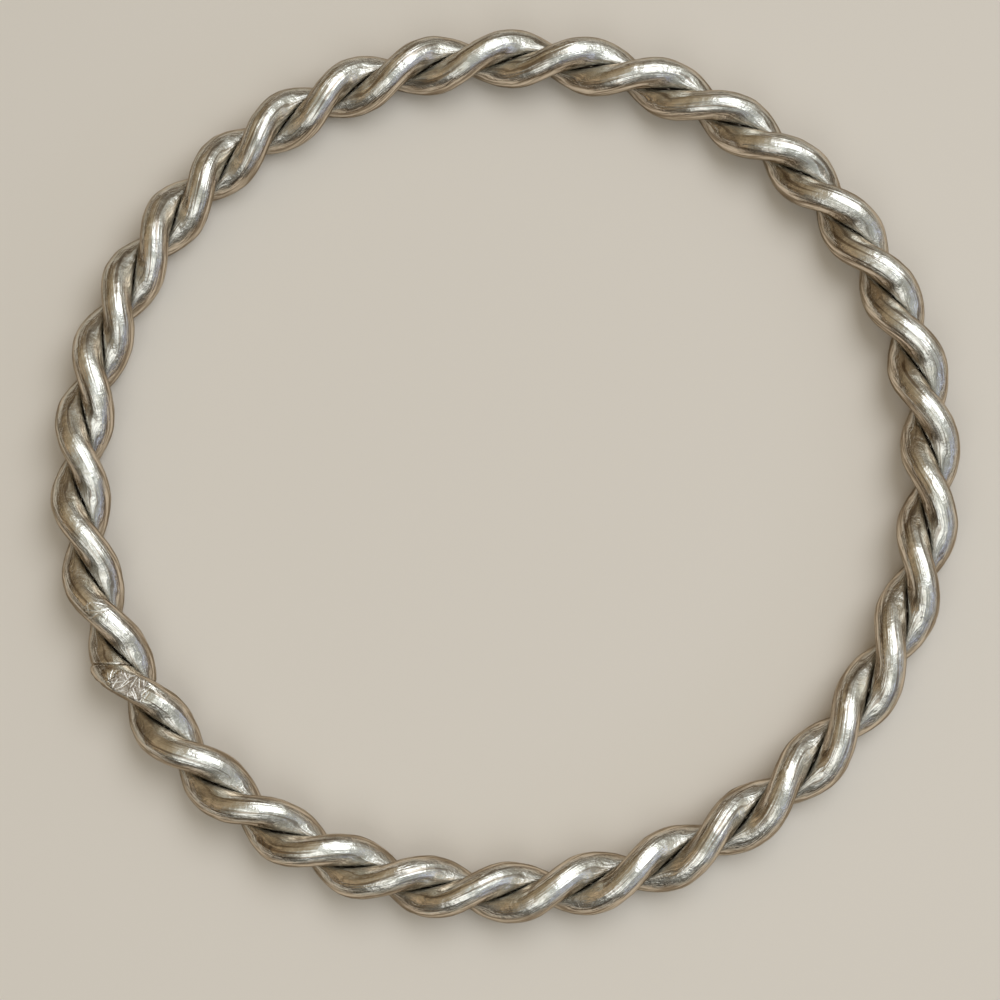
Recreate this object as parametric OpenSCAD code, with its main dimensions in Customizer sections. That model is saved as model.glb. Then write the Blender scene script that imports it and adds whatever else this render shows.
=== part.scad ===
// Twisted wire bangle: two round silver wires tightly twisted together like a rope,
// bent into a closed ring and soldered at one joint. It lies on its side, with
// the middle of the ring at the origin, +Z up and the lowest lobes at z = 0.

/* [Ring] */
// Width of the opening that the hand goes through
inner_d = 65; // [56:0.5:72]

/* [Wire] */
// Thickness of each of the two wires
wire_d = 2.4; // [1.8:0.1:3.2]
// Hairline between the two wires where they lie against each other
wire_gap = 0.1; // [0.1:0.01:0.2]
// Fullness of the side where the wires press on each other, from 2 for a round side
pressed = 2.3; // [2:0.1:2.3]

/* [Twist] */
// Half turns of the pair round the whole ring, odd, so that each wire runs on into the other
half_turns = 33; // [25:2:39]
// Turn of the pair at the +X side of the ring, in degrees
twist_start = 6; // [-90:1:90]
// How uneven the hand twisting is, from even to as uneven as the real one
unevenness = 1; // [0:0.1:1]

/* [Joint] */
// Place of the soldered joint round the ring, in degrees from +X
joint_at = 209.5; // [0:0.5:360]
// Slant of the cut through both wires, from straight across the rope
joint_slant = 33; // [0:1:35]
// Hairline between the ends that meet at the joint
joint_gap = 0.08; // [0.06:0.01:0.2]
// Thickness that the solder adds to the outward side of each wire where it starts
solder_h = 0.25; // [0:0.05:0.3]
// Length of wire that the solder ran along
solder_l = 5; // [1:0.5:8]
// Depth that the file took off the rope where a wire crosses over the joint
filed_depth = 0.3; // [0:0.05:0.4]
// Place of the middle of the filed flat, in degrees round the ring from the joint
filed_from_joint = 2.6; // [0:0.1:4]
// Length of rope past the joint that the file reached
filed_l = 6; // [4:0.5:8]
// Way that the filed flat faces, from 0 outward to 90 up
filed_tilt = 90; // [45:1:90]

/* [Facets] */
// Sides of a wire's section
wire_sides = 15; // [8:1:15]
// Sections along each wire
wire_sections = 264; // [200:1:264]

/* [Hidden] */

wire_r = wire_d / 2;
helix_r = wire_r + wire_gap / 2;           // from the rope's middle line to a wire's middle
rope_d = 2 * (helix_r + wire_r);           // thickness of the rope, and height of the ring
ring_r = (inner_d + rope_d) / 2;           // radius of the rope's middle line
lay = atan(helix_r * half_turns / 2 / ring_r);   // slant of a wire to the rope's middle line
look_step = 0.05;                          // step in degrees that gives a wire's direction
even_l = 8;                                // length over which the slant of the ends evens out
tries = 24;                                // tries that bring a point of an end onto the cut

// The uneven twist, as slow waves round the ring:
// [waves in one round, size in degrees of twist, place of the peak in degrees]
DRIFT = [
    [1, 12.8, 228.6],
    [2, 4.5, 117.3],
    [3, 14.9, 52.4],
];
WAVES = 0;
SIZE = 1;
PEAK = 2;

function sum(list, i = 0) = i < len(list) ? list[i] + sum(list, i + 1) : 0;
function drift(at) = unevenness * sum([for (w = DRIFT) w[SIZE] * cos(w[WAVES] * (at - w[PEAK]))]);

// Turn of the pair at a place round the ring: 0 is outward, 90 is up.
function twist(at) = twist_start + at * half_turns / 2 + drift(at);

function outward(at) = [cos(at), sin(at), 0];
function onward(at) = [-sin(at), cos(at), 0];
function unit(v) = v / norm(v);
function rope_middle(at) = ring_r * outward(at) + [0, 0, rope_d / 2];

// Direction from the rope's middle line to a wire's middle.
function lean(at, turn) = cos(twist(at) + turn) * outward(at) + [0, 0, sin(twist(at) + turn)];
function wire_middle(at, turn) = rope_middle(at) + helix_r * lean(at, turn);
function wire_way(at, turn) =
    unit(wire_middle(at + look_step, turn) - wire_middle(at - look_step, turn));

// Thickness of the solder, which lies on the wires only past the joint.
function arc_l(degrees) = ring_r * degrees * PI / 180;
function fade(x, length) = abs(x) < length ? (1 + cos(180 * x / length)) / 2 : 0;
function solder(at) = solder_h * fade(arc_l(at - joint_at), solder_l);

// The file takes off what stands above its plane, which lies over the joint.
FILED_AT = joint_at + filed_from_joint;
FILE_WAY = cos(filed_tilt) * outward(FILED_AT) + [0, 0, sin(filed_tilt)];
function above_file(p) = max(0, (p - rope_middle(FILED_AT)) * FILE_WAY - (rope_d / 2 - filed_depth));
function filed(p, at, is_filed) =
    is_filed && arc_l(at - joint_at) < filed_l ? p - above_file(p) * FILE_WAY : p;

// The twisting pressed the wires on each other, so the side of a wire that faces
// the other one is fuller than round.
function fuller(x) = sign(x) * pow(abs(x), 2 / pressed);

// A point of a wire's section, thickened outward by the solder. The section doesn't
// turn about its own middle as it follows the twist, so the sides run straight along
// the wire. The bottom and top of the ring are filed flush.
function section_point(at, turn, is_filed, place) =
    let(out = lean(at, turn),
        a = place + twist(at) * cos(lay),
        outer = cos(a) > 0,
        reach = outer ? (wire_r + solder(at) * cos(a)) * cos(a) : wire_r * fuller(cos(a)),
        side_reach = wire_r * (outer ? sin(a) : fuller(sin(a))),
        side = cross(wire_way(at, turn), out),
        p = filed(wire_middle(at, turn) + reach * out + side_reach * side, at, is_filed))
    [p[0], p[1], min(max(p[2], 0), rope_d)];

// The cut through the rope at the joint, and how far a point is past it.
CUT_WAY = cos(joint_slant) * onward(joint_at) + sin(joint_slant) * outward(joint_at);
function past_cut(p) = (p - rope_middle(joint_at)) * CUT_WAY;

// Place round the ring where one side of a wire is a given distance past the cut.
function end_at(at, turn, is_filed, place, past, left = tries) =
    left == 0 ? at :
    let(p = section_point(at, turn, is_filed, place),
        step = (past - past_cut(p)) / arc_l(1))
    end_at(at + step, turn, is_filed, place, past, left - 1);

// One wire from the joint, once round the ring and back to the joint.
module wire(turn, is_filed) {
    last = wire_sections - 1;
    places = [for (j = [0 : wire_sides - 1]) 360 * j / wire_sides];
    starts = [for (place = places) end_at(joint_at, turn, is_filed, place, joint_gap / 2)];
    ends = [for (place = places) end_at(joint_at + 360, turn, is_filed, place, -joint_gap / 2)];
    points = [
        for (i = [0 : last])
            let(at = joint_at + 360 * i / last)
            for (j = [0 : wire_sides - 1])
                section_point(
                    at + (starts[j] - joint_at) * fade(arc_l(at - joint_at), even_l)
                        + (ends[j] - joint_at - 360) * fade(arc_l(joint_at + 360 - at), even_l),
                    turn, is_filed, places[j])
    ];
    function nr(i, j) = i * wire_sides + j % wire_sides;
    polyhedron(
        points = points,
        faces = [
            [for (j = [0 : wire_sides - 1]) nr(0, j)],
            [for (j = [wire_sides - 1 : -1 : 0]) nr(last, j)],
            for (i = [0 : last - 1], j = [0 : wire_sides - 1])
                each [
                    [nr(i, j), nr(i + 1, j), nr(i, j + 1)],
                    [nr(i, j + 1), nr(i + 1, j), nr(i + 1, j + 1)],
                ],
        ],
        convexity = 6
    );
}

module strand_a() {
    color("#a5a39a") wire(0, false);
}

module strand_b() {
    color("#b0aea6") wire(180, true);
}

strand_a();
strand_b();
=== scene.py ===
"""Looks of a twisted wire bangle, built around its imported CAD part.

Two round wires of worn silver are twisted together like a rope, bent into a closed ring and
soldered at one joint, where the wire that crosses over is filed flat. The ring lies on a plain
pale floor in soft studio light. Sizes are in millimetres and degrees, and Blender's objects
are in metres, in the part's own frame.
"""

import logging
from dataclasses import dataclass
from enum import Enum
from math import atan, cos, pi, radians, sin

import bpy
from mathutils import Matrix, Vector


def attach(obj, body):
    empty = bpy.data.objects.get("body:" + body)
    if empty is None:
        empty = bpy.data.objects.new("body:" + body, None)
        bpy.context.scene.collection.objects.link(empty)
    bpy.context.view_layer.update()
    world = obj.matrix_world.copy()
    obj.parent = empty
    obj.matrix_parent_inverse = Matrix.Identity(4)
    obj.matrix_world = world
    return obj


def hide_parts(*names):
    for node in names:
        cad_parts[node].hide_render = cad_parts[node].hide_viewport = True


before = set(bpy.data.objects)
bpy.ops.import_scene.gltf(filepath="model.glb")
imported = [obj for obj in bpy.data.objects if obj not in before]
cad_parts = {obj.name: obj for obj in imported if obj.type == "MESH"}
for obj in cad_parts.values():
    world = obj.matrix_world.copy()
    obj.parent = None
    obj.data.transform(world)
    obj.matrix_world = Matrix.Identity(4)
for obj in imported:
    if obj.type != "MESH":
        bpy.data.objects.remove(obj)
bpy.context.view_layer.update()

LOG = logging.getLogger("bangle")
MM = 0.001              # metres in a millimetre
BODY = "root"           # the one body of the rigid ring
PICTURE = 1000          # width and height of the picture, in pixels
GLOSSY_BOUNCES = 10     # times that light may go from metal to metal, as in the grooves
CLIP = 0.01, 10.0       # where the camera's view starts and ends, in metres
FREE = 1.0              # a limit in metres that is wider than the ring, so it limits nothing

NUMBERS = "ShaderNodeMath"
VECTORS = "ShaderNodeVectorMath"
SMOOTH = {"interpolation_type": "SMOOTHSTEP"}
COLOURS = {"data_type": "RGBA"}

Point = tuple[float, float, float]
Row = tuple[str | float | Point, ...]
Shares = tuple[tuple[str, float], ...]


class Shine(Enum):
    """How the metal of a wire was finished."""

    POLISHED = "silver_wire"
    SOLDERED = "silver_wire_soldered"


def linear(colour: str) -> tuple[float, float, float, float]:
    """Turns an sRGB colour into the linear one that Blender uses.

    Args:
        colour: The colour as six hex digits after a hash sign.

    Returns:
        Red, green, blue and an alpha of one.
    """
    parts = [int(colour[i:i + 2], 16) / 255 for i in (1, 3, 5)]
    return (*[p / 12.92 if p <= 0.04045 else ((p + 0.055) / 1.055) ** 2.4 for p in parts], 1.0)


def add(tree: bpy.types.NodeTree, kind: str, settings: dict | None = None,
        inputs: dict | None = None) -> bpy.types.Node:
    """Adds one node to a tree, with its settings, its values and its links.

    Args:
        tree: The tree that gets the node.
        kind: Blender's name for the kind of node.
        settings: Properties of the node and what they are set to.
        inputs: For each input, by name or number, a value or the socket linked to it.

    Returns:
        The new node.
    """
    node = tree.nodes.new(kind)
    for name, value in (settings or {}).items():
        setattr(node, name, value)
    for name, value in (inputs or {}).items():
        if isinstance(value, bpy.types.NodeSocket):
            tree.links.new(value, node.inputs[name])
        else:
            node.inputs[name].default_value = value
    return node


def work_out(tree: bpy.types.NodeTree, kind: str, rows: list[Row], known: dict) -> None:
    """Adds a node for each row of a formula, and keeps each result under the row's name.

    Args:
        tree: The tree that gets the nodes.
        kind: Blender's name for the kind of node that works out a row.
        rows: Each row's name, its operation and its terms, which are names or values.
        known: The named sockets so far. Each row's result is added to it.
    """
    for name, operation, *terms in rows:
        node = add(tree, kind, {"operation": operation})
        open_inputs = [i for i, socket in enumerate(node.inputs) if socket.enabled]
        for i, term in zip(open_inputs, terms, strict=True):
            value = known[term] if isinstance(term, str) else term
            if isinstance(value, bpy.types.NodeSocket):
                tree.links.new(value, node.inputs[i])
            else:
                node.inputs[i].default_value = value
        known[name] = next(socket for socket in node.outputs if socket.enabled)


@dataclass(frozen=True)
class Drift:
    """A slow wave in the twist, left by twisting the wires by hand.

    Args:
        waves: Waves in one round of the ring.
        size: Size of the wave, in degrees of twist.
        peak: Place of its peak round the ring, in degrees.
    """

    waves: int
    size: float
    peak: float


@dataclass(frozen=True)
class Rope:
    """The path that both wires follow, as the part's source has it.

    Args:
        inner_d: Width of the opening that the hand goes through.
        wire_d: Thickness of each wire.
        wire_gap: Hairline between the two wires.
        half_turns: Half turns of the pair round the whole ring.
        twist_start: Turn of the pair at the +X side of the ring.
        drifts: The slow waves in the twist.
        joint_at: Place of the soldered joint, from +X.
        joint_slant: Slant of the cut through both wires, from straight across the rope.
        joint_gap: Hairline between the ends that meet at the joint.
        even_l: Length over which the slant of the ends evens out.
        pressed: Fullness of the side that presses on the other wire, from 2 for a round side.
        press_l: How far that side stands past a round one, or less than 0 for short of it.
    """

    inner_d: float = 65.0
    wire_d: float = 2.4
    wire_gap: float = 0.1
    half_turns: int = 33
    twist_start: float = 6.0
    drifts: tuple[Drift, ...] = (Drift(1, 12.8, 228.6), Drift(2, 4.5, 117.3), Drift(3, 14.9, 52.4))
    joint_at: float = 209.5
    joint_slant: float = 33.0
    joint_gap: float = 0.08
    even_l: float = 8.0
    pressed: float = 3.4
    press_l: float = -0.03

    @property
    def wire_r(self) -> float:
        """Radius of a wire."""
        return self.wire_d / 2

    @property
    def helix_r(self) -> float:
        """Distance from the rope's middle line to a wire's middle."""
        return self.wire_r + self.wire_gap / 2

    @property
    def rope_r(self) -> float:
        """Half the thickness of the rope, which is also the height of its middle line."""
        return self.helix_r + self.wire_r

    @property
    def ring_r(self) -> float:
        """Radius of the rope's middle line."""
        return self.inner_d / 2 + self.rope_r

    @property
    def lay(self) -> float:
        """Slant of a wire to the rope's middle line, in radians."""
        return atan(self.helix_r * self.half_turns / 2 / self.ring_r)

    def twist(self, at: float) -> float:
        """Turn of the pair of wires at a place round the ring.

        Args:
            at: The place, in degrees from +X.

        Returns:
            The turn in degrees: 0 is outward and 90 is up.
        """
        waves = sum(d.size * cos(radians(d.waves * (at - d.peak))) for d in self.drifts)
        return self.twist_start + at * self.half_turns / 2 + waves

    def twist_rate(self, at: float) -> float:
        """How fast the pair of wires turns at a place round the ring.

        Args:
            at: The place, in degrees from +X.

        Returns:
            Degrees of turn for each degree round the ring.
        """
        waves = sum(d.size * radians(d.waves) * sin(radians(d.waves * (at - d.peak)))
                    for d in self.drifts)
        return self.half_turns / 2 - waves

    def slant_step(self, at: float, turn: float) -> float:
        """How far round the ring the slanted cut lies, for each millimetre out from its middle.

        Args:
            at: Place of the joint, counted on for a wire's far end, in degrees.
            turn: The wire's own turn, in degrees.

        Returns:
            The step in radians for each millimetre.
        """
        slant = radians(self.joint_slant)
        swing = self.twist_rate(at) * self.helix_r * sin(radians(self.twist(at) + turn))
        return -sin(slant) / (self.ring_r * cos(slant) - swing * sin(slant))


@dataclass
class Strand:
    """One wire of the rope, from the joint once round the ring and back to the joint.

    Args:
        node: The CAD node that it replaces.
        turn: The wire's own turn in the pair, in degrees.
        shine: How its metal is finished; not used.
        is_filed: True for the wire that crosses over the joint.
        rope: The path that it follows.
        sections: Sections along the wire.
        sides: Sides of each section.
        solder_h: Thickness that the solder adds where the wire starts.
        solder_l: Length of wire that the solder ran along.
        filed_depth: Depth that the file took off the rope.
        filed_from_joint: Place of the flat's middle from the joint, in degrees.
        filed_l: Length of rope past the joint that the file reached.
        filed_tilt: Way that the flat faces, from 0 outward to 90 up.
        rubbed_at: Middle of the scratched part of the flat, along the rope past the joint.
        rubbed_l: Length of the scratched part.
        rubbed_fall: How fast it ends there, in millimetres of cut for each one of length.
        rubbed_ragged: How uneven its ends are.
        dent_h: Height of the long, soft dents of years of wear.
        dent_size: Size of those dents.
        lump_h: Height of the lumps in the solder.
        lump_size: Size of those lumps.
        rim: Share of a section that is left at the very edge of an end.
        dent_seed: Where the dents' pattern is read.
        inner_upness: How much the side towards the other wire counts as facing up or down,
        so that the painted reflection on the flanks stays off it.
        weld: Distance up to which points are made one, to close the seam and the ends.
    """

    node: str
    turn: float
    shine: Shine
    is_filed: bool
    rope: Rope = Rope()
    sections: int = 2040
    sides: int = 48
    solder_h: float = 0.25
    solder_l: float = 5.0
    filed_depth: float = 0.3
    filed_from_joint: float = 2.6
    filed_l: float = 6.0
    filed_tilt: float = 90.0
    rubbed_at: float = 1.35
    rubbed_l: float = 2.0
    rubbed_fall: float = 0.3
    rubbed_ragged: float = 0.4
    dent_h: float = 0.08
    dent_size: float = 2.2
    lump_h: float = 0.09
    lump_size: float = 0.5
    rim: float = 0.95
    dent_seed: float = 3.0
    inner_upness: float = 1.3
    weld: float = 0.002

    def sizes(self) -> dict[str, float]:
        """The wire's sizes for its tree, in metres and radians.

        Returns:
            Each named input of the tree with its value.
        """
        rope = self.rope
        end_at = rope.joint_at + 360
        return {
            "Ring Radius": rope.ring_r * MM,
            "Helix Radius": rope.helix_r * MM,
            "Wire Radius": rope.wire_r * MM,
            "Half Turns": float(rope.half_turns),
            "Twist Start": radians(rope.twist_start),
            "Turn": radians(self.turn),
            "Joint Place": radians(rope.joint_at),
            "Half Gap": rope.joint_gap / 2 / rope.ring_r,
            "Even Length": rope.even_l * MM,
            "Lean At Start": radians(rope.twist(rope.joint_at) + self.turn),
            "Lean At End": radians(rope.twist(end_at) + self.turn),
            "Step At Start": rope.slant_step(rope.joint_at, self.turn) / MM,
            "Step At End": rope.slant_step(end_at, self.turn) / MM,
            "Straightening": cos(rope.lay),
            "Press Power": 2 / rope.pressed,
            "Press Reach": 1 + rope.press_l / rope.wire_r,
            "Solder Height": self.solder_h * MM,
            "Solder Length": self.solder_l * MM,
            "File Depth": self.filed_depth * MM,
            "Filed": float(self.is_filed),
            "Filed Length": self.filed_l * MM,
            "Rubbed Place": self.rubbed_at * MM,
            "Rubbed Reach": self.rubbed_l / 2 * MM,
            "Dent Height": self.dent_h * MM,
            "Dents Per Metre": 1 / (self.dent_size * MM),
            "Lump Height": self.lump_h * MM,
            "Lumps Per Metre": 1 / (self.lump_size * MM),
            "Dent Seed": self.dent_seed,
            "Rim": self.rim,
        }

    def file_way(self) -> Vector:
        """The way that the filed flat faces.

        Returns:
            The way, of length one.
        """
        at = radians(self.rope.joint_at + self.filed_from_joint)
        tilt = radians(self.filed_tilt)
        return Vector((cos(tilt) * cos(at), cos(tilt) * sin(at), sin(tilt)))

    def file_middle(self) -> Vector:
        """The rope's middle under the filed flat, in metres."""
        at = radians(self.rope.joint_at + self.filed_from_joint)
        return Vector((self.rope.ring_r * cos(at), self.rope.ring_r * sin(at), self.rope.rope_r)) * MM

    def along_rows(self) -> list[Row]:
        """The formula for the place round the ring of each point of the grid.

        Returns:
            Rows that end in the place, "at", and its distances from the two ends.
        """
        last = self.sections - 1
        return [
            ("along", "ADD", "grid x", 0.5),
            ("round", "ADD", "grid y", 0.5),
            ("row", "MULTIPLY", "along", float(last)),
            ("row", "ROUND", "row"),
            ("rows left", "SUBTRACT", float(last), "row"),
            ("from edge", "MINIMUM", "row", "rows left"),
            ("fill", "MULTIPLY", "from edge", "Rim"),
            ("fill", "MINIMUM", "fill", 1.0),
            ("part", "SUBTRACT", "row", 1.0),
            ("part", "DIVIDE", "part", float(last - 2)),
            ("part", "MAXIMUM", "part", 0.0),
            ("part", "MINIMUM", "part", 1.0),
            ("span", "MULTIPLY_ADD", "Half Gap", -2.0, 2 * pi),
            ("gone", "MULTIPLY_ADD", "part", "span", "Half Gap"),
            ("left", "SUBTRACT", 2 * pi, "gone"),
            ("place", "MULTIPLY", "round", 2 * pi),
            *self.end_rows("start", "gone", "Lean At Start", "Step At Start"),
            *self.end_rows("end", "left", "Lean At End", "Step At End"),
            ("at", "ADD", "Joint Place", "gone"),
            ("at", "ADD", "at", "start shift"),
            ("at", "ADD", "at", "end shift"),
        ]

    @staticmethod
    def fade_rows(name: str, length: str) -> list[Row]:
        """The formula for what fades smoothly, from 1 at a place to 0 at a length from it.

        Args:
            name: Name of the distance from the place, and then of the result.
            length: Name of the length.

        Returns:
            Rows that end in the result.
        """
        return [
            (name, "DIVIDE", name, length),
            (name, "MINIMUM", name, 1.0),
            (name, "MULTIPLY", name, pi),
            (name, "COSINE", name),
            (name, "MULTIPLY_ADD", name, 0.5, 0.5),
        ]

    @staticmethod
    def end_rows(end: str, away: str, lean: str, step: str) -> list[Row]:
        """The formula that slants one end of the wire to the cut through the rope.

        Args:
            end: Name of the end, for its results.
            away: Name of the distance from that end, in radians.
            lean: Name of the wire's lean at that end.
            step: Name of the cut's step at that end.

        Returns:
            Rows that end in the shift of the place round the ring.
        """
        side, out, fade, shift = f"{end} side", f"{end} out", f"{end} fade", f"{end} shift"
        return [
            (side, "SUBTRACT", lean, "Turn"),
            (side, "MULTIPLY_ADD", side, "Straightening", "place"),
            (side, "SUBTRACT", lean, side),
            (side, "COSINE", side),
            (side, "MULTIPLY", side, "Wire Radius"),
            (side, "MULTIPLY", side, "fill"),
            (out, "COSINE", lean),
            (out, "MULTIPLY_ADD", out, "Helix Radius", side),
            (fade, "MULTIPLY", away, "Ring Radius"),
            *Strand.fade_rows(fade, "Even Length"),
            (shift, "MULTIPLY", out, step),
            (shift, "MULTIPLY", shift, fade),
        ]

    def twist_rows(self) -> list[Row]:
        """The formula for the twist, the wire's middle and its section, from the place "at".

        Returns:
            Rows that end in the parts of the vectors and in the section's two reaches.
        """
        rows = [
            ("rate", "MULTIPLY", "Half Turns", 0.5),
            ("twist", "MULTIPLY_ADD", "at", "rate", "Twist Start"),
        ]
        for drift in self.rope.drifts:
            rows += [
                ("wave", "SUBTRACT", "at", radians(drift.peak)),
                ("wave", "MULTIPLY", "wave", float(drift.waves)),
                ("crest", "COSINE", "wave"),
                ("twist", "MULTIPLY_ADD", "crest", radians(drift.size), "twist"),
                ("slope", "SINE", "wave"),
                ("rate", "MULTIPLY_ADD", "slope", -radians(drift.size) * drift.waves, "rate"),
            ]
        return rows + [
            ("lean", "ADD", "twist", "Turn"),
            ("cos at", "COSINE", "at"),
            ("sin at", "SINE", "at"),
            ("back at", "MULTIPLY", "sin at", -1.0),
            ("cos lean", "COSINE", "lean"),
            ("sin lean", "SINE", "lean"),
            ("radius", "MULTIPLY_ADD", "cos lean", "Helix Radius", "Ring Radius"),
            ("rope height", "ADD", "Helix Radius", "Wire Radius"),
            ("middle z", "MULTIPLY_ADD", "sin lean", "Helix Radius", "rope height"),
            ("swing", "MULTIPLY", "rate", "Helix Radius"),
            ("rise", "MULTIPLY", "swing", "cos lean"),
            ("inward", "MULTIPLY", "swing", "sin lean"),
            ("outward", "MULTIPLY", "inward", -1.0),
            ("angle", "MULTIPLY_ADD", "twist", "Straightening", "place"),
            ("outness", "COSINE", "angle"),
            ("sideness", "SINE", "angle"),
            ("is inner", "LESS_THAN", "outness", 0.0),
            ("outer half", "MAXIMUM", "outness", 0.0),
            ("inner half", "MINIMUM", "outness", 0.0),
            ("inner half", "ABSOLUTE", "inner half"),
            ("inner half", "POWER", "inner half", "Press Power"),
            ("inner half", "MULTIPLY", "inner half", "Press Reach"),
            ("shape out", "SUBTRACT", "outer half", "inner half"),
            ("side power", "SUBTRACT", "Press Power", 1.0),
            ("side power", "MULTIPLY_ADD", "side power", "is inner", 1.0),
            ("side sign", "SIGN", "sideness"),
            ("shape side", "ABSOLUTE", "sideness"),
            ("shape side", "POWER", "shape side", "side power"),
            ("shape side", "MULTIPLY", "shape side", "side sign"),
            ("past joint", "SUBTRACT", "at", "Joint Place"),
            ("past joint", "MULTIPLY", "past joint", "Ring Radius"),
            ("solder", "ABSOLUTE", "past joint"),
            *self.fade_rows("solder", "Solder Length"),
            ("solder", "MULTIPLY", "solder", "outer half"),
            ("thickness", "MULTIPLY_ADD", "solder", "Solder Height", "Wire Radius"),
            ("thickness", "MULTIPLY", "thickness", "fill"),
            ("reach", "MULTIPLY", "thickness", "shape out"),
            ("side reach", "MULTIPLY", "Wire Radius", "fill"),
            ("side reach", "MULTIPLY", "side reach", "shape side"),
        ]

    def follow_rope(self, tree: bpy.types.NodeTree, known: dict) -> None:
        """Works out where each point of the grid lies on the wire as it was new.

        Args:
            tree: The wire's tree.
            known: The named sockets so far. "point" is added to it, and "spoke", the way to it
                from the wire's middle.
        """
        place = add(tree, "GeometryNodeInputPosition").outputs[0]
        flat = add(tree, "ShaderNodeSeparateXYZ", None, {0: place})
        known |= {"grid x": flat.outputs["X"], "grid y": flat.outputs["Y"]}
        work_out(tree, NUMBERS, self.along_rows() + self.twist_rows(), known)
        for name, terms in {"at out": ("cos at", "sin at"), "at on": ("back at", "cos at"),
                            "middle up": (0.0, 0.0, "middle z"), "way up": (0.0, 0.0, "rise"),
                            "lean up": (0.0, 0.0, "sin lean")}.items():
            known[name] = add(tree, "ShaderNodeCombineXYZ", None, {
                i: known[term] for i, term in enumerate(terms) if term}).outputs[0]
        work_out(tree, VECTORS, [
            ("middle", "SCALE", "at out", "radius"),
            ("middle", "ADD", "middle", "middle up"),
            ("way out", "SCALE", "at out", "outward"),
            ("way on", "SCALE", "at on", "radius"),
            ("way", "ADD", "way out", "way on"),
            ("way", "ADD", "way", "way up"),
            ("way", "NORMALIZE", "way"),
            ("lean out", "SCALE", "at out", "cos lean"),
            ("out", "ADD", "lean out", "lean up"),
            ("side", "CROSS_PRODUCT", "way", "out"),
            ("out part", "SCALE", "out", "outness"),
            ("side part", "SCALE", "side", "sideness"),
            ("spoke", "ADD", "out part", "side part"),
            ("reach out", "SCALE", "out", "reach"),
            ("reach side", "SCALE", "side", "side reach"),
            ("point", "ADD", "middle", "reach out"),
            ("point", "ADD", "point", "reach side"),
        ], known)

    def wear(self, tree: bpy.types.NodeTree, known: dict) -> None:
        """Moves each point by the soft dents of wear and by the lumps in the solder.

        Args:
            tree: The wire's tree.
            known: The named sockets so far. "point" is moved in it.
        """
        seeded = {"noise_dimensions": "4D", "normalize": False}
        for name, scale, fineness in (("dents", "Dents Per Metre", 0.5), ("lumps", "Lumps Per Metre", 0.6)):
            known[name] = add(tree, "ShaderNodeTexNoise", seeded, {
                "Vector": known["point"], "W": known["Dent Seed"], "Scale": known[scale],
                "Detail": 2.0, "Roughness": fineness}).outputs[0]
        work_out(tree, NUMBERS, [
            ("dent", "MULTIPLY", "dents", "Dent Height"),
            ("lump", "MULTIPLY", "lumps", "Lump Height"),
            ("lump", "MULTIPLY", "lump", "solder"),
            ("bulge", "ADD", "dent", "lump"),
            ("bulge", "MULTIPLY", "bulge", "fill"),
            ("open side", "MULTIPLY_ADD", "outness", 0.5, 0.5),
            ("bulge", "MULTIPLY", "bulge", "open side"),
        ], known)
        work_out(tree, VECTORS, [
            ("dented", "SCALE", "spoke", "bulge"),
            ("point", "ADD", "point", "dented"),
        ], known)

    def file_off(self, tree: bpy.types.NodeTree, known: dict) -> None:
        """Takes off what stands above the file's plane, and what the ring's two faces cut.

        Args:
            tree: The wire's tree.
            known: The named sockets so far. "point" is moved in it. "filed mm", -1 away from
                the flat, "along mm" and "round mm" are added to it for the metal's finish.
        """
        work_out(tree, VECTORS, [
            ("from file", "SUBTRACT", "point", tuple(self.file_middle())),
            ("height", "DOT_PRODUCT", "from file", tuple(self.file_way())),
        ], known)
        work_out(tree, NUMBERS, [
            ("level", "SUBTRACT", "rope height", "File Depth"),
            ("above", "SUBTRACT", "height", "level"),
            ("near start", "LESS_THAN", "past joint", "Filed Length"),
            ("in reach", "MULTIPLY", "near start", "Filed"),
            ("cut", "MAXIMUM", "above", 0.0),
            ("cut", "MULTIPLY", "cut", "in reach"),
            ("cut", "MULTIPLY", "cut", -1.0),
            ("filed mm", "DIVIDE", "above", MM),
            ("filed mm", "ADD", "filed mm", 1.0),
            ("filed mm", "MAXIMUM", "filed mm", 0.0),
            ("filed mm", "MULTIPLY", "filed mm", "in reach"),
            ("filed mm", "SUBTRACT", "filed mm", 1.0),
            ("off rubbed", "MULTIPLY_ADD", "lumps", self.rubbed_ragged * MM, "past joint"),
            ("off rubbed", "SUBTRACT", "off rubbed", "Rubbed Place"),
            ("off rubbed", "ABSOLUTE", "off rubbed"),
            ("off rubbed", "SUBTRACT", "Rubbed Reach", "off rubbed"),
            ("off rubbed", "MULTIPLY", "off rubbed", self.rubbed_fall / MM),
            ("filed mm", "MINIMUM", "filed mm", "off rubbed"),
            ("along mm", "MULTIPLY", "at", self.rope.ring_r / cos(self.rope.lay)),
            ("round mm", "MULTIPLY", "round", 2 * pi * self.rope.wire_r),
        ], known)
        work_out(tree, VECTORS, [
            ("taken off", "SCALE", tuple(self.file_way()), "cut"),
            ("point", "ADD", "point", "taken off"),
            ("point", "MINIMUM", "point", (FREE, FREE, 2 * self.rope.rope_r * MM)),
            ("point", "MAXIMUM", "point", (-FREE, -FREE, 0.0)),
        ], known)

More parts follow.
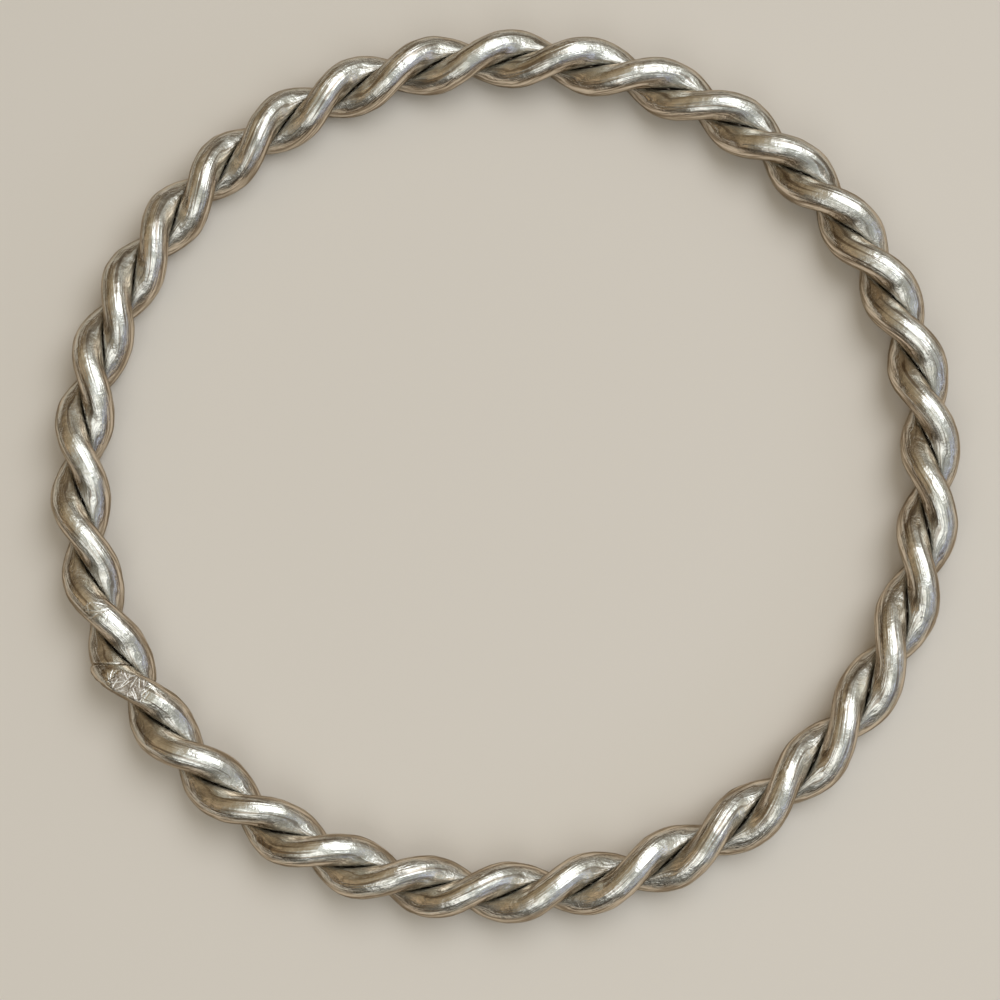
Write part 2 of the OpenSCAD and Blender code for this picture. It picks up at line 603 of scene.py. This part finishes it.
    def grow(self, material: bpy.types.Material) -> bpy.types.NodeTree:
        """Builds the tree that sweeps the wire's section along its path.

        Args:
            material: The wire's material.

        Returns:
            The tree, with a named input for each size.
        """
        tree = bpy.data.node_groups.new(f"{self.node} sweep", "GeometryNodeTree")
        tree.interface.new_socket("Geometry", in_out="OUTPUT", socket_type="NodeSocketGeometry")
        for name in self.sizes():
            tree.interface.new_socket(name, in_out="INPUT", socket_type="NodeSocketFloat")
        entry = add(tree, "NodeGroupInput")
        known = {name: entry.outputs[name] for name in self.sizes()}
        self.follow_rope(tree, known)
        self.wear(tree, known)
        self.file_off(tree, known)

        # What the finish reads: how far a place faces away from the other wire, how far it
        # faces up or down, how deep the file cut, and the wire's unrolled surface.
        # Upness places the painted reflection on the flanks; outness places the painted shade beside and in
        # the grooves.
        known["spoke up"] = add(tree, "ShaderNodeSeparateXYZ", None, {0: known["spoke"]}).outputs["Z"]
        work_out(tree, NUMBERS, [
            ("upness", "ABSOLUTE", "spoke up"),
            ("innerness", "MULTIPLY", "outness", -self.inner_upness),
            ("upness", "MAXIMUM", "upness", "innerness"),
        ], known)
        unrolled = add(tree, "ShaderNodeCombineXYZ", None, {0: known["along mm"], 1: known["round mm"]})
        mesh = add(tree, "GeometryNodeMeshGrid", None, {
            "Size X": 1.0, "Size Y": 1.0, "Vertices X": self.sections,
            "Vertices Y": self.sides + 1}).outputs["Mesh"]
        for name, kind, domain, value in (
                ("outness", "FLOAT", "POINT", known["outness"]),
                ("upness", "FLOAT", "POINT", known["upness"]),
                ("filed", "FLOAT", "POINT", known["filed mm"]),
                ("UVMap", "FLOAT2", "CORNER", unrolled.outputs[0])):
            mesh = add(tree, "GeometryNodeStoreNamedAttribute", {"data_type": kind, "domain": domain}, {
                "Geometry": mesh, "Name": name, "Value": value}).outputs[0]

        for kind, inputs in {"GeometryNodeSetPosition": {"Position": known["point"]},
                             "GeometryNodeMergeByDistance": {"Distance": self.weld * MM},
                             "GeometryNodeFlipFaces": {},
                             "GeometryNodeSetShadeSmooth": {},
                             "GeometryNodeRealizeInstances": {},
                             "GeometryNodeSetMaterial": {"Material": material}}.items():
            mesh = add(tree, kind, None, {0: mesh} | inputs).outputs[0]
        add(tree, "NodeGroupOutput", None, {0: mesh})
        return tree

    def build(self, material: bpy.types.Material) -> bpy.types.Object:
        """Makes the wire and puts it in the place of its CAD node.

        Args:
            material: The wire's material.

        Returns:
            The finished piece.
        """
        tree = self.grow(material)
        start = bpy.data.objects.new(f"{self.node}_start", bpy.data.meshes.new(f"{self.node}_start"))
        bpy.context.scene.collection.objects.link(start)
        modifier = start.modifiers.new("sweep", "NODES")
        modifier.node_group = tree
        sizes = self.sizes()
        for item in tree.interface.items_tree:
            if item.in_out == "INPUT":
                modifier[item.identifier] = sizes[item.name]
        grown = start.evaluated_get(bpy.context.evaluated_depsgraph_get())
        mesh = bpy.data.meshes.new_from_object(grown)
        mesh.name = f"{self.node}_wire"
        piece = bpy.data.objects.new(f"{self.node}_wire", mesh)
        bpy.context.scene.collection.objects.link(piece)
        start.modifiers.clear()
        bpy.data.objects.remove(start)
        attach(piece, BODY)
        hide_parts(self.node)
        LOG.info("%s: %d faces", piece.name, len(mesh.polygons))
        return piece


@dataclass(frozen=True)
class Grain:
    """A pattern of soft patches on the metal.

    Args:
        length: Size of a patch, along the wire where it is drawn out.
        width: Its size across the wire, or 0 where it isn't drawn out.
        detail: Steps of finer patches in it.
        fineness: How strong the finer patches are.
        start: Where the pattern is read, in patches.
    """

    length: float
    width: float
    detail: float
    fineness: float
    start: Point = (0.0, 0.0, 0.0)


@dataclass(frozen=True)
class Spread:
    """Where a tint or a wear lies, by the value of its pattern.

    Args:
        none: The value where it ends.
        full: The value where there is most of it.
        most: How much that is, as a share.
    """

    none: float
    full: float
    most: float = 1.0


@dataclass(frozen=True)
class WornSilver:
    """Sterling silver, drawn into wire, polished long ago and worn since.

    The bare metal is bright and slightly yellow, and nearly a mirror. The lines that drawing
    left run along the wire and break up its highlights, and years of wear add soft dings.
    A thin grey tarnish lies in clouds all over, and brown tarnish in streaks. The flanks, which
    face sideways, are painted a warm brown with lines in it: a painted reflection, as of a brown
    surround. Beside the grooves the colour is painted grey and in them much deeper: painted shade
    where the wires meet. The flat is duller and full of the file's straight scratches. Real
    drawing lines and scratches are a few hundredths of a millimetre wide, too fine to show, so
    both are drawn two or three pixels of the picture wide.

    Args:
        name: Name of the material.
        silver: Colour of the metal under its thin tarnish.
        cloud: Colour of the thicker clouds of tarnish.
        painted_recess_shade: Colour of the painted grey shade beside the grooves.
        painted_groove_shade: Colour of the painted shade in the grooves.
        streak: Colour of the brown tarnish along the drawing lines.
        painted_reflection: Colour of the painted warm reflection on the flanks.
        painted_reflection_lines: Colour of that painted reflection in the drawing lines.
        fresh: Colour of the flat that the file left.
        fresh_dull: Colour of the flat where it was rubbed dull.
        bare: Colour of the metal in a scratch.
        grazing: Colour that the tarnish gives the metal seen along its surface.
        roughness: Roughness of the polish.
        rougher: Roughness that each kind of tarnish and wear adds.
        clouds: Pattern of the clouds.
        streaks: Pattern of the brown streaks.
        drawn: Pattern of the drawing lines, coarser than real ones.
        dings: Pattern of the small dings.
        cloudy: Where a cloud lies, by its pattern.
        streaky: Where a streak lies, by its pattern.
        lined: Where the painted reflection has lines, by the drawing lines.
        painted_reflection_mask: Where the painted reflection lies, by how far a place faces up or down.
        painted_reflection_patchy: How much the clouds' pattern breaks the edge of the painted
            reflection.
        painted_recess_mask: Where the painted grey shade beside the grooves lies, by how far a place
        faces away from the other wire.
        groove: Where the painted shade in the grooves lies, by the same measure.
        flat: Where the flat is, by how deep the file cut.
        edge: Where the file's scratches lie, by the same measure.
        rubbed: Where the flat is rubbed dull, by the dings' pattern.
        relief: How far each kind of mark stands out, or less than 0 for how deep it lies, as a
            share of the relief's height. "hollow" is the uneven face of the flat.
        relief_h: Height of the relief.
        slip: Place where the file slipped.
        slip_r: Distance from there where its scratches end.
        slip_full_r: Distance from there up to which they are full.
        scratch_turn: Way that most scratches run, from along the wire, in degrees.
        scratch_spread: How much their ways differ, in degrees.
        scratch_layers: Layers of scratches that cross each other.
        scratch_cell: Spacing of the scratches in a layer.
        scratch_stray: Share of a cell that the middle of its scratch may lie in.
        scratch_l: Length of a scratch.
        scratch_w: Width of a scratch, wider than a real one.
        scratch_point: How suddenly a scratch ends.
        layer_step: Step of the pattern from one layer to the next, in cells.
    """

    name: str
    silver: str = "#E9E8E1"
    cloud: str = "#C9C6B9"
    # Painted shade: grey beside the grooves, where the wires meet.
    painted_recess_shade: str = "#A3A097"
    # Painted shade: much deeper in the grooves, where the wires meet.
    painted_groove_shade: str = "#82786A"
    streak: str = "#857765"
    # Painted reflection: the next two colours paint the sideways faces warm brown, as if they mirrored a
    # brown surround.
    painted_reflection: str = "#E9DCCA"
    painted_reflection_lines: str = "#988976"
    fresh: str = "#CBC5BC"
    fresh_dull: str = "#968C82"
    bare: str = "#EFEDE6"
    grazing: str = "#CBC2B6"
    roughness: float = 0.18
    rougher: Shares = (("cloudy", 0.10), ("groove", 0.22), ("flat", 0.12), ("scratch", 0.15))
    clouds: Grain = Grain(1.3, 0.0, 4.0, 0.6)
    streaks: Grain = Grain(6.0, 0.34, 2.0, 0.5, (3.0, 7.0, 0.0))
    drawn: Grain = Grain(4.0, 0.25, 3.0, 0.6)
    dings: Grain = Grain(0.45, 0.0, 3.0, 0.65)
    cloudy: Spread = Spread(0.42, 0.68, 0.75)
    streaky: Spread = Spread(0.51, 0.66, 0.8)
    # Painted reflection on the flanks: where it has lines, where it lies, and how broken its edge is.
    lined: Spread = Spread(0.4, 0.58)
    painted_reflection_mask: Spread = Spread(1.05, 0.75)
    painted_reflection_patchy: float = 0.5
    painted_recess_mask: Spread = Spread(0.1, -0.75, 0.75)
    groove: Spread = Spread(-0.8, -1.0)
    flat: Spread = Spread(0.0, 0.03)
    edge: Spread = Spread(-0.15, 0.0)
    rubbed: Spread = Spread(0.4, 0.62)
    relief: Shares = (("drawn", 1.5), ("dings", 1.05), ("hollow", 3.0), ("scratch", -0.5))
    relief_h: float = 0.045
    slip: Point = (-32.7, -12.5, 4.7)
    slip_r: float = 1.4
    slip_full_r: float = 0.7
    scratch_turn: float = 90.0
    scratch_spread: float = 110.0
    scratch_layers: int = 7
    scratch_cell: float = 1.5
    scratch_stray: float = 0.4
    scratch_l: float = 1.2
    scratch_w: float = 0.16
    scratch_point: float = 4.0
    layer_step: Point = (0.37, 0.71, 1.0)

    def material(self) -> bpy.types.Material:
        """Builds the material.

        Returns:
            The finished material.
        """
        material = bpy.data.materials.new(self.name)
        material.use_nodes = True
        tree = material.node_tree
        tree.nodes.clear()
        known = self.patterns(tree)
        self.scratch(tree, known)
        self.tint(tree, known)
        known |= {"rough": self.roughness, "height": 0.0}
        work_out(tree, NUMBERS, [
            ("hollow", "MULTIPLY", "clouds", "flat"),
            *[("rough", "MULTIPLY_ADD", mark, share, "rough") for mark, share in self.rougher],
            *[("height", "MULTIPLY_ADD", mark, share, "height") for mark, share in self.relief],
        ], known)
        bump = add(tree, "ShaderNodeBump", None, {
            "Height": known["height"], "Distance": self.relief_h * MM, "Strength": 1.0})
        surface = add(tree, "ShaderNodeBsdfPrincipled", None, {
            "Base Color": known["colour"], "Metallic": 1.0, "Specular Tint": linear(self.grazing),
            "Roughness": known["rough"], "Normal": bump.outputs[0]})
        add(tree, "ShaderNodeOutputMaterial", None, {"Surface": surface.outputs[0]})
        return material

    def patterns(self, tree: bpy.types.NodeTree) -> dict:
        """Adds the patterns of tarnish and wear, and where each of them shows.

        Args:
            tree: The material's tree.

        Returns:
            The named sockets: the place, the attributes, the patterns, and how much there is
            of each tint or wear.
        """
        known = {
            "spot": add(tree, "ShaderNodeTexCoord").outputs["Object"],
            "wire": add(tree, "ShaderNodeUVMap", {"uv_map": "UVMap"}).outputs[0],
        }
        for name in ("outness", "upness", "filed"):
            known[name] = add(tree, "ShaderNodeAttribute", {"attribute_name": name}).outputs["Fac"]
        for name, grain in {"clouds": self.clouds, "streaks": self.streaks,
                            "drawn": self.drawn, "dings": self.dings}.items():
            place, scale = known["spot"], 1 / (grain.length * MM)
            if grain.width:
                place = add(tree, "ShaderNodeMapping", None, {
                    "Vector": known["wire"], "Location": grain.start,
                    "Scale": (1 / grain.length, 1 / grain.width, 1.0)}).outputs[0]
                scale = 1.0
            known[name] = add(tree, "ShaderNodeTexNoise", None, {
                "Vector": place, "Scale": scale, "Detail": grain.detail,
                "Roughness": grain.fineness}).outputs[0]
        # The painted reflection lies on the faces that look sideways, its edge broken by the clouds.
        work_out(tree, NUMBERS, [("patchy", "MULTIPLY_ADD", "clouds", self.painted_reflection_patchy, "upness")], known)
        for name, pattern, spread in (
                ("cloudy", "clouds", self.cloudy), ("streaky", "streaks", self.streaky),
                ("lined", "drawn", self.lined), ("painted_reflection_mask", "patchy", self.painted_reflection_mask),
                # Painted shade beside and in the grooves, by how far a place faces away from the other
                # wire.
                ("painted_recess_mask", "outness", self.painted_recess_mask), ("groove", "outness", self.groove),
                ("flat", "filed", self.flat), ("edge", "filed", self.edge),
                ("rubbed", "dings", self.rubbed)):
            known[name] = add(tree, "ShaderNodeMapRange", SMOOTH, {
                "Value": known[pattern], "From Min": spread.none, "From Max": spread.full,
                "To Max": spread.most}).outputs[0]
        return known

    def tint(self, tree: bpy.types.NodeTree, known: dict) -> None:
        """Lays the colours over each other, from the bare metal up.

        Args:
            tree: The material's tree.
            known: The named sockets so far. "colour" is added to it.
        """
        for name, share, *pair in (
                ("toned", "cloudy", linear(self.silver), linear(self.cloud)),
                ("browned", "streaky", "toned", linear(self.streak)),
                # Painted reflection: the sideways faces get warm brown, as if they mirrored a brown
                # surround.
                ("painted warm reflection", "lined", linear(self.painted_reflection), linear(self.painted_reflection_lines)),
                ("with painted reflection", "painted_reflection_mask", "browned", "painted warm reflection"),
                # Painted shade: grey beside the grooves.
                ("with painted recess shade", "painted_recess_mask", "with painted reflection", linear(self.painted_recess_shade)),
                ("filed metal", "rubbed", linear(self.fresh), linear(self.fresh_dull)),
                ("bared", "flat", "with painted recess shade", "filed metal"),
                # Painted shade: much deeper in the grooves.
                ("darkened", "groove", "bared", linear(self.painted_groove_shade)),
                ("colour", "scratch", "darkened", linear(self.bare))):
            under, over = (known[term] if isinstance(term, str) else term for term in pair)
            known[name] = add(tree, "ShaderNodeMix", COLOURS, {
                "Factor": known[share], "A": under, "B": over}).outputs["Result"]

    def scratch(self, tree: bpy.types.NodeTree, known: dict) -> None:
        """Adds the file's straight scratches on the flat, and those where it slipped.

        Args:
            tree: The material's tree.
            known: The named sockets so far. "scratch" is added to it, from 1 in the middle of
                a scratch to 0 beside it.
        """
        slip = tuple(v * MM for v in self.slip)
        far = add(tree, VECTORS, {"operation": "DISTANCE"}, {0: known["spot"], 1: slip})
        known["slipped"] = add(tree, "ShaderNodeMapRange", SMOOTH, {
            "Value": far.outputs["Value"], "From Min": self.slip_r * MM,
            "From Max": self.slip_full_r * MM}).outputs[0]
        known["scratch"] = 0.0
        for layer in range(self.scratch_layers):
            work_out(tree, VECTORS, [
                ("cell", "SCALE", "wire", 1 / self.scratch_cell),
                ("cell", "ADD", "cell", tuple(step * layer for step in self.layer_step)),
                ("corner", "FLOOR", "cell"),
                ("in cell", "FRACTION", "cell"),
                ("in cell", "SUBTRACT", "in cell", (0.5, 0.5, 0.0)),
            ], known)
            chance = add(tree, "ShaderNodeTexWhiteNoise", {"noise_dimensions": "3D"}, {
                "Vector": known["corner"]})
            known |= {"chance": chance.outputs["Value"], "chances": chance.outputs["Color"]}
            work_out(tree, NUMBERS, [
                ("turn", "SUBTRACT", "chance", 0.5),
                ("turn", "MULTIPLY_ADD", "turn", radians(self.scratch_spread), radians(self.scratch_turn)),
            ], known)
            known["in cell"] = add(tree, "ShaderNodeVectorRotate", {"rotation_type": "Z_AXIS"}, {
                "Vector": known["in cell"], "Angle": known["turn"]}).outputs[0]
            work_out(tree, VECTORS, [
                ("chances", "SUBTRACT", "chances", (0.5, 0.5, 0.5)),
                ("chances", "SCALE", "chances", self.scratch_stray),
                ("in cell", "ADD", "in cell", "chances"),
                ("in cell", "ABSOLUTE", "in cell"),
                ("in cell", "DIVIDE", "in cell", (
                    self.scratch_l / 2 / self.scratch_cell, self.scratch_w / 2 / self.scratch_cell, 1.0)),
            ], known)
            parts = add(tree, "ShaderNodeSeparateXYZ", None, {0: known["in cell"]})
            known |= {"along": parts.outputs["X"], "across": parts.outputs["Y"]}
            work_out(tree, NUMBERS, [
                ("along", "POWER", "along", self.scratch_point),
                ("across", "ADD", "across", "along"),
                ("line", "SUBTRACT", 1.0, "across"),
                ("scratch", "MAXIMUM", "scratch", "line"),
            ], known)
        work_out(tree, NUMBERS, [
            ("scuffed", "MAXIMUM", "edge", "slipped"),
            ("scratch", "MULTIPLY", "scratch", "scuffed"),
        ], known)


@dataclass(frozen=True)
class Softbox:
    """A soft studio light that shows as a pale shape in the metal.

    Args:
        name: Name of the light.
        azimuth: Way that it stands in, in degrees from +X.
        elevation: Height that it stands at, in degrees above the floor.
        away: Distance from the middle of the ring.
        width: Its width.
        height: Its height.
        glow: How bright its face is.
        colour: Its colour.
    """

    name: str
    azimuth: float
    elevation: float
    away: float
    width: float
    height: float
    glow: float
    colour: str = "#FFFFFF"

    def place(self) -> bpy.types.Object:
        """Puts the light in the scene, facing the ring.

        Returns:
            The light.
        """
        light = bpy.data.lights.new(self.name, "AREA")
        light.shape = "ELLIPSE"
        light.size = self.width * MM
        light.size_y = self.height * MM
        # A matt glowing face gives pi times its glow and its area, here that of an ellipse.
        light.energy = self.glow * pi * light.size * light.size_y * pi / 4
        light.color = linear(self.colour)[:3]
        spot = bpy.data.objects.new(self.name, light)
        a, e = radians(self.azimuth), radians(self.elevation)
        way = Vector((cos(e) * cos(a), cos(e) * sin(a), sin(e)))
        spot.location = way * self.away * MM
        spot.rotation_euler = way.to_track_quat("Z", "Y").to_euler()
        bpy.context.scene.collection.objects.link(spot)
        return spot


@dataclass(frozen=True)
class Studio:
    """The plain pale floor, the soft light and the camera at the photo's angle.

    Args:
        floor_colour: Colour of the floor.
        floor_w: Width of the floor.
        floor_rough: Roughness of its paint.
        floor_shine: How much its paint shines, where 0.5 is common.
        zenith: Colour of the air straight above.
        horizon: Colour of the air at the floor's level.
        warm: Tint of the air on its warm side.
        warm_way: Way to the warm side.
        warm_side: Where the tint lies, by how far a way goes that way.
        key_way: Way to the bright side.
        key_side: How much brighter the air is there, and darker across from it.
        key_halo: How much brighter it is straight that way.
        halo_fall: How fast that glow falls off to its sides.
        softboxes: The lights.
        camera_away: Distance from the camera to the middle of the ring.
        camera_right: How far the camera stands to the right of straight above, in degrees.
        camera_down: How far it stands towards the lower edge of the picture, in degrees.
        pixels_per_mm: Scale of the picture at the middle of the ring.
        middle_x: Place of that middle in the picture, in pixels from the left.
        middle_y: Its place in pixels from the top.
    """

    floor_colour: str = "#E6DFD4"
    floor_w: float = 3000.0
    floor_rough: float = 0.9
    floor_shine: float = 0.1
    zenith: str = "#ADB0AC"
    horizon: str = "#50473D"
    warm: str = "#FFE0BA"
    warm_way: Point = (-0.85, 0.5, 0.15)
    warm_side: Spread = Spread(0.05, 0.85)
    key_way: Point = (0.75, 0.45, 0.5)
    key_side: float = 0.4
    key_halo: float = 1.1
    halo_fall: float = 6.0
    softboxes: tuple[Softbox, ...] = (
        Softbox("main_softbox", 30.0, 60.0, 500.0, 490.0, 350.0, 2.2, "#F4F7FF"),
        Softbox("second_softbox", 255.0, 52.0, 300.0, 230.0, 190.0, 1.0),
        Softbox("low_softbox", 328.0, 21.0, 600.0, 800.0, 110.0, 0.95, "#CEDAFF"),
        Softbox("warm_softbox", 180.0, 28.0, 600.0, 340.0, 110.0, 0.5, "#FFDDB4"),
    )
    camera_away: float = 214.887
    camera_right: float = 2.402
    camera_down: float = 11.672
    pixels_per_mm: float = 12.0363
    middle_x: float = 504.03
    middle_y: float = 467.94

    def lay_floor(self) -> None:
        """Lays the floor under the ring, a board in matt paint, which shows no reflections."""
        half = self.floor_w * MM / 2
        mesh = bpy.data.meshes.new("floor")
        mesh.from_pydata([(-half, -half, 0), (half, -half, 0), (half, half, 0), (-half, half, 0)],
                         [], [(0, 1, 2, 3)])
        floor = bpy.data.objects.new("floor", mesh)
        bpy.context.scene.collection.objects.link(floor)
        material = bpy.data.materials.new("matt_painted_board")
        material.use_nodes = True
        surface = material.node_tree.nodes["Principled BSDF"]
        surface.inputs["Base Color"].default_value = linear(self.floor_colour)
        surface.inputs["Roughness"].default_value = self.floor_rough
        surface.inputs["Specular IOR Level"].default_value = self.floor_shine
        mesh.materials.append(material)

    def light(self) -> None:
        """Lights the ring with the softboxes and the air round it."""
        for softbox in self.softboxes:
            softbox.place()
        world = bpy.data.worlds.new("air")
        world.use_nodes = True
        tree = world.node_tree
        tree.nodes.clear()
        known = {"way": add(tree, "ShaderNodeTexCoord").outputs["Generated"]}
        height = add(tree, "ShaderNodeSeparateXYZ", None, {0: known["way"]}).outputs["Z"]
        climb = add(tree, "ShaderNodeMapRange", SMOOTH, {"Value": height, "From Min": 0.0, "From Max": 1.0})
        sky = add(tree, "ShaderNodeMix", COLOURS, {
            "Factor": climb.outputs[0], "A": linear(self.horizon), "B": linear(self.zenith)})
        work_out(tree, VECTORS, [
            ("facing", "DOT_PRODUCT", "way", self.key_way),
            ("warm side", "DOT_PRODUCT", "way", self.warm_way),
        ], known)
        warmth = add(tree, "ShaderNodeMapRange", SMOOTH, {
            "Value": known["warm side"], "From Min": self.warm_side.none,
            "From Max": self.warm_side.full})
        warmed = add(tree, "ShaderNodeMix", COLOURS | {"blend_type": "MULTIPLY"}, {
            "Factor": warmth.outputs[0], "A": sky.outputs["Result"], "B": linear(self.warm)})
        work_out(tree, NUMBERS, [
            ("glow", "MULTIPLY_ADD", "facing", self.key_side, 1.0),
            ("halo", "MAXIMUM", "facing", 0.0),
            ("halo", "POWER", "halo", self.halo_fall),
            ("glow", "MULTIPLY_ADD", "halo", self.key_halo, "glow"),
        ], known)
        air = add(tree, "ShaderNodeBackground", None, {
            "Color": warmed.outputs["Result"], "Strength": known["glow"]})
        add(tree, "ShaderNodeOutputWorld", None, {0: air.outputs[0]})
        bpy.context.scene.world = world

    def aim(self) -> None:
        """Sets the camera at the photo's viewing angle."""
        x, y = sin(radians(self.camera_right)), -sin(radians(self.camera_down))
        back = Vector((x, y, (1 - x * x - y * y) ** 0.5))
        right = (-back).cross(Vector((0, 1, 0))).normalized()
        up = back.cross(right)
        camera = bpy.data.cameras.new("camera")
        camera.lens = camera.sensor_width * self.pixels_per_mm * self.camera_away / PICTURE
        camera.shift_x = 0.5 - self.middle_x / PICTURE
        camera.shift_y = self.middle_y / PICTURE - 0.5
        camera.clip_start, camera.clip_end = CLIP
        stand = bpy.data.objects.new("camera", camera)
        turn = Matrix((right, up, back)).transposed().to_4x4()
        stand.matrix_world = Matrix.Translation(back * self.camera_away * MM) @ turn
        bpy.context.scene.collection.objects.link(stand)
        bpy.context.scene.camera = stand
        bpy.context.scene.view_settings.view_transform = "Standard"
        bpy.context.scene.cycles.glossy_bounces = GLOSSY_BOUNCES


def main() -> None:
    """Builds the bangle and its studio."""
    logging.basicConfig(level=logging.INFO, format="%(name)s: %(message)s")
    polished = WornSilver("worn_polished_sterling_silver").material()
    soldered = WornSilver("worn_sterling_silver_filed_at_the_joint").material()
    Strand("strand_a", 0.0, Shine.POLISHED, False).build(polished)
    Strand("strand_b", 180.0, Shine.SOLDERED, True).build(soldered)
    studio = Studio()
    studio.lay_floor()
    studio.light()
    studio.aim()


if __name__ == "__main__":
    main()
